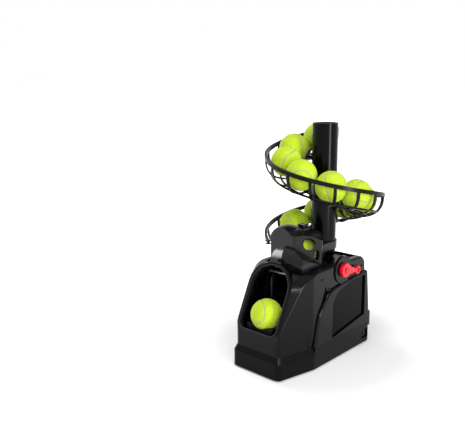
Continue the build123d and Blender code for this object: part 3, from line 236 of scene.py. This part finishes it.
# %% The felt
FIBRE_MM, TUFT_MM = 0.9, 5
felt, tree, surface, place = new_material("tennis_felt_yellow")
seam_mask = add(tree, "ShaderNodeAttribute", attribute_name="seam").outputs["Fac"]
fibres = add(tree, "ShaderNodeTexNoise", {"Vector": place},
             {"Scale": 1 / (FIBRE_MM * MM), "Detail": 6.0, "Roughness": 0.75})
tufts = add(tree, "ShaderNodeTexNoise", {"Vector": place}, {"Scale": 1 / (TUFT_MM * MM), "Detail": 4.0})
fleck = add(tree, "ShaderNodeMapRange", {"Value": fibres.outputs["Fac"]}, {"From Min": 0.32, "From Max": 0.7})
shade = add(tree, "ShaderNodeMix", {"Factor": fleck.outputs["Result"]}, data_type="RGBA")
shade.inputs["A"].default_value = linear("#97b60e")
shade.inputs["B"].default_value = linear("#c6e022")
patch = add(tree, "ShaderNodeMapRange", {"Value": tufts.outputs["Fac"]},
            {"From Min": 0.4, "From Max": 0.75, "To Max": 0.35})
worn = add(tree, "ShaderNodeMix", {"Factor": patch.outputs["Result"], "A": shade.outputs["Result"]},
           data_type="RGBA")
worn.inputs["B"].default_value = linear("#d0e548")
seamed = add(tree, "ShaderNodeMix", {"Factor": seam_mask, "A": worn.outputs["Result"]}, data_type="RGBA")
seamed.inputs["B"].default_value = linear("#a3a67c")
tree.links.new(seamed.outputs["Result"], surface.inputs["Base Color"])
surface.inputs["Roughness"].default_value = 0.95
surface.inputs["Sheen Weight"].default_value = 0.35
surface.inputs["Sheen Roughness"].default_value = 0.5
surface.inputs["Sheen Tint"].default_value = linear("#eaff70")
bump = add(tree, "ShaderNodeBump", {"Height": fibres.outputs["Fac"]}, {"Strength": 1.0, "Distance": 0.5 * MM})
tree.links.new(bump.outputs["Normal"], surface.inputs["Normal"])

# %% The ball's mesh
BALL_R = 33.5 * MM
CUTS = 47  # cuts along each side of the cube that the ball is blown up from
SEAM_POINTS = 720
SEAM_A, SEAM_B = 0.735, 0.265  # the formula's two lengths, which set how far the curve swings
SEAM_DEPTH_MM, SEAM_WIDTH_MM = 0.9, 1.6
PAINT_REACH, PAINT_FADE_MM = 1.45, 1.5  # the seam's colour is full near the curve and fades out
CHUNK = 2000  # points measured at a time, to save memory

turns = np.linspace(0, 2 * pi, SEAM_POINTS, endpoint=False)
seam_curve = np.stack([SEAM_A * np.cos(turns) + SEAM_B * np.cos(3 * turns),
                       SEAM_A * np.sin(turns) - SEAM_B * np.sin(3 * turns),
                       2 * sqrt(SEAM_A * SEAM_B) * np.sin(2 * turns)], axis=1)
seam_curve /= np.linalg.norm(seam_curve, axis=1)[:, None]


def ball_mesh():
    mesh = bpy.data.meshes.new("tennis_ball")
    build = bmesh.new()
    bmesh.ops.create_cube(build, size=2.0)
    bmesh.ops.subdivide_edges(build, edges=build.edges[:], cuts=CUTS, use_grid_fill=True)
    build.to_mesh(mesh)
    build.free()
    points = np.zeros(len(mesh.vertices) * 3, np.float32)
    mesh.vertices.foreach_get("co", points)
    points = points.reshape(-1, 3)
    points = np.tan(points * pi / 4)  # evens out the squares that a sphere would stretch
    points /= np.linalg.norm(points, axis=1)[:, None]
    away = np.empty(len(points))
    for start in range(0, len(points), CHUNK):
        chunk = points[start:start + CHUNK]
        away[start:start + CHUNK] = np.linalg.norm(chunk[:, None] - seam_curve[None], axis=2).min(axis=1)
    away_mm = away * BALL_R / MM
    mask = np.clip(PAINT_REACH - away_mm / PAINT_FADE_MM, 0, 1)
    depth = SEAM_DEPTH_MM * np.exp(-(away_mm / SEAM_WIDTH_MM) ** 2) * MM
    points *= (BALL_R - depth)[:, None]
    mesh.vertices.foreach_set("co", points.astype(np.float32).ravel())
    mesh.attributes.new("seam", "FLOAT", "POINT").data.foreach_set("value", mask.astype(np.float32))
    mesh.shade_smooth()
    mesh.materials.append(felt)
    return mesh


one_ball = ball_mesh()
print("ball mesh:", len(one_ball.vertices), "points")

# %% [markdown]
# ## Placing the balls
# Each ball goes where a solid already is, so its centre is read from the solids and never typed in. The
# rack's ten balls are one node, so its loose islands are found by walking the mesh, and each island's box
# gives a centre. A hollow ball has a second, smaller island inside, which is passed over.

# %% Put a ball at each solid ball


def island_centres(mesh):
    build = bmesh.new()
    build.from_mesh(mesh)
    bmesh.ops.remove_doubles(build, verts=build.verts[:], dist=1e-6)
    build.verts.ensure_lookup_table()
    seen, centres = set(), []
    for vertex in build.verts:
        if vertex.index in seen:
            continue
        island, queue = [], [vertex]
        seen.add(vertex.index)
        while queue:
            here = queue.pop()
            island.append(here.co.copy())
            for edge in here.link_edges:
                other = edge.other_vert(here)
                if other.index not in seen:
                    seen.add(other.index)
                    queue.append(other)
        low = [min(p[i] for p in island) for i in range(3)]
        high = [max(p[i] for p in island) for i in range(3)]
        if high[0] - low[0] > 1.9 * BALL_R:
            centres.append(Vector([(a + b) / 2 for a, b in zip(low, high)]))
    build.free()
    return centres


def put_ball(name, centre, body, node):
    """A ball at the centre, turned at random. The turn goes into its own copy of the mesh."""
    turn = Euler(tuple(rng.uniform(0, 2 * pi, 3)))
    mesh = one_ball.copy()
    mesh.transform(turn.to_matrix().to_4x4())
    ball = bpy.data.objects.new(name, mesh)
    bpy.context.scene.collection.objects.link(ball)
    ball.location = centre
    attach(ball, body)
    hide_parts(node)


rack_centres = sorted(island_centres(nodes["rack_balls"].data), key=lambda c: c.z)
for k, centre in enumerate(rack_centres):
    put_ball(f"rack_ball_{k + 1}", centre, "rack", "rack_balls")
for node, body in (("gate_ball", "case"), ("loaded_ball", "mouth_ball")):
    low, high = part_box(node)
    put_ball(f"{node}_felt", (low + high) / 2, body, node)
print("balls in the rack:", len(rack_centres))

# %% [markdown]
# ## Floor, light and camera
# The machine stands on a pale sweep in a plain studio. Four lamps give the black plastic something to
# reflect: without them a glossy black part is only a dark shape. A wide one stands at the front right, a low
# strip on the right, a broad one on the left, and a small one hangs above. The floor glows and the backdrop
# is full white only where they are looked at, straight or in a reflection, so the light that they cast on
# the machine stays weak. The floor's glow is low near the machine, where it would wash out the shadow.

# %% Floor and backdrop
SWEEP_HALF = 30
SHADOW_R, WHITE_R = 0.2, 0.65  # the floor's glow grows between these distances, in metres
SHADOW_GLOW = 0.1

scene = bpy.context.scene
scene.view_settings.view_transform = "Standard"


def looked_at(tree):
    """1 where a camera, glossy or transmission ray meets the surface, and 0 elsewhere."""
    ray = add(tree, "ShaderNodeLightPath").outputs
    direct = add(tree, "ShaderNodeMath", {0: ray["Is Camera Ray"], 1: ray["Is Glossy Ray"]},
                 operation="MAXIMUM")
    seen = add(tree, "ShaderNodeMath", {0: direct.outputs[0], 1: ray["Is Transmission Ray"]},
               operation="MAXIMUM")
    return seen.outputs[0]


corners = [(x * SWEEP_HALF, y * SWEEP_HALF, 0) for x, y in ((-1, -1), (1, -1), (1, 1), (-1, 1))]
floor_mesh = bpy.data.meshes.new("floor")
floor_mesh.from_pydata(corners, [], [(0, 1, 2, 3)])
floor = bpy.data.objects.new("floor", floor_mesh)
scene.collection.objects.link(floor)
paper, tree, surface, place = new_material("white_paper_sweep")
surface.inputs["Base Color"].default_value = (0.86, 0.86, 0.86, 1.0)
surface.inputs["Roughness"].default_value = 0.8
distance = add(tree, "ShaderNodeVectorMath", {0: place}, operation="LENGTH")
far = add(tree, "ShaderNodeMapRange", {"Value": distance.outputs["Value"]},
          {"From Min": SHADOW_R, "From Max": WHITE_R, "To Min": SHADOW_GLOW, "To Max": 1.0})
glow = add(tree, "ShaderNodeMath", {0: looked_at(tree), 1: far.outputs["Result"]}, operation="MULTIPLY")
tree.links.new(glow.outputs[0], surface.inputs["Emission Strength"])
surface.inputs["Emission Color"].default_value = (1.0, 1.0, 1.0, 1.0)
floor_mesh.materials.append(paper)

world = bpy.data.worlds.new("studio")
scene.world = world
world.use_nodes = True
tree = world.node_tree
tree.nodes.clear()
soft = add(tree, "ShaderNodeBackground", values={"Color": (1, 1, 1, 1), "Strength": 0.3})
white = add(tree, "ShaderNodeBackground", values={"Color": (1, 1, 1, 1), "Strength": 1.0})
seen = add(tree, "ShaderNodeMixShader", {0: looked_at(tree), 1: soft.outputs[0], 2: white.outputs[0]})
add(tree, "ShaderNodeOutputWorld", {"Surface": seen.outputs[0]})

# %% Lamps
# name, place, point it faces, width and height in metres, watts
LAMPS = (
    ("front_right", (1.5, -1.3, 1.0), (0, 0, 0.25), 1.0, 0.3, 21),
    ("strip_right", (1.88, -0.27, 0.37), (0, 0.05, 0.37), 0.3, 0.7, 19),
    ("left", (-1.9, 0.05, 0.95), (0, -0.05, 0.25), 0.9, 0.6, 19),
    ("top", (0.3, -0.6, 2.1), (0, 0, 0.2), 0.6, 0.5, 18),
)
for name, stand, aim, width, height, power in LAMPS:
    lamp = bpy.data.lights.new(name, "AREA")
    lamp.shape = "RECTANGLE"
    lamp.size, lamp.size_y = width, height
    lamp.energy = power
    holder = bpy.data.objects.new(name, lamp)
    scene.collection.objects.link(holder)
    holder.location = stand
    holder.rotation_euler = (Vector(aim) - Vector(stand)).to_track_quat("-Z", "Y").to_euler()
print("lamps:", len(LAMPS))

# %% Camera
CAMERA_AT = (0.7906, -1.07285, 0.5964)
LENS_MM = 48.31
turn, tilt, roll = radians(43.63), radians(12.03), radians(-0.63)
ahead = Vector((-sin(turn) * cos(tilt), cos(turn) * cos(tilt), -sin(tilt)))
right = Vector((cos(turn), sin(turn), 0))
up = right.cross(ahead)
right, up = cos(roll) * right + sin(roll) * up, cos(roll) * up - sin(roll) * right
camera_data = bpy.data.cameras.new("camera")
camera_data.lens = LENS_MM
camera = bpy.data.objects.new("camera", camera_data)
scene.collection.objects.link(camera)
axes = Matrix((right, up, -ahead)).transposed().to_4x4()
camera.matrix_world = Matrix.Translation(CAMERA_AT) @ axes
scene.camera = camera
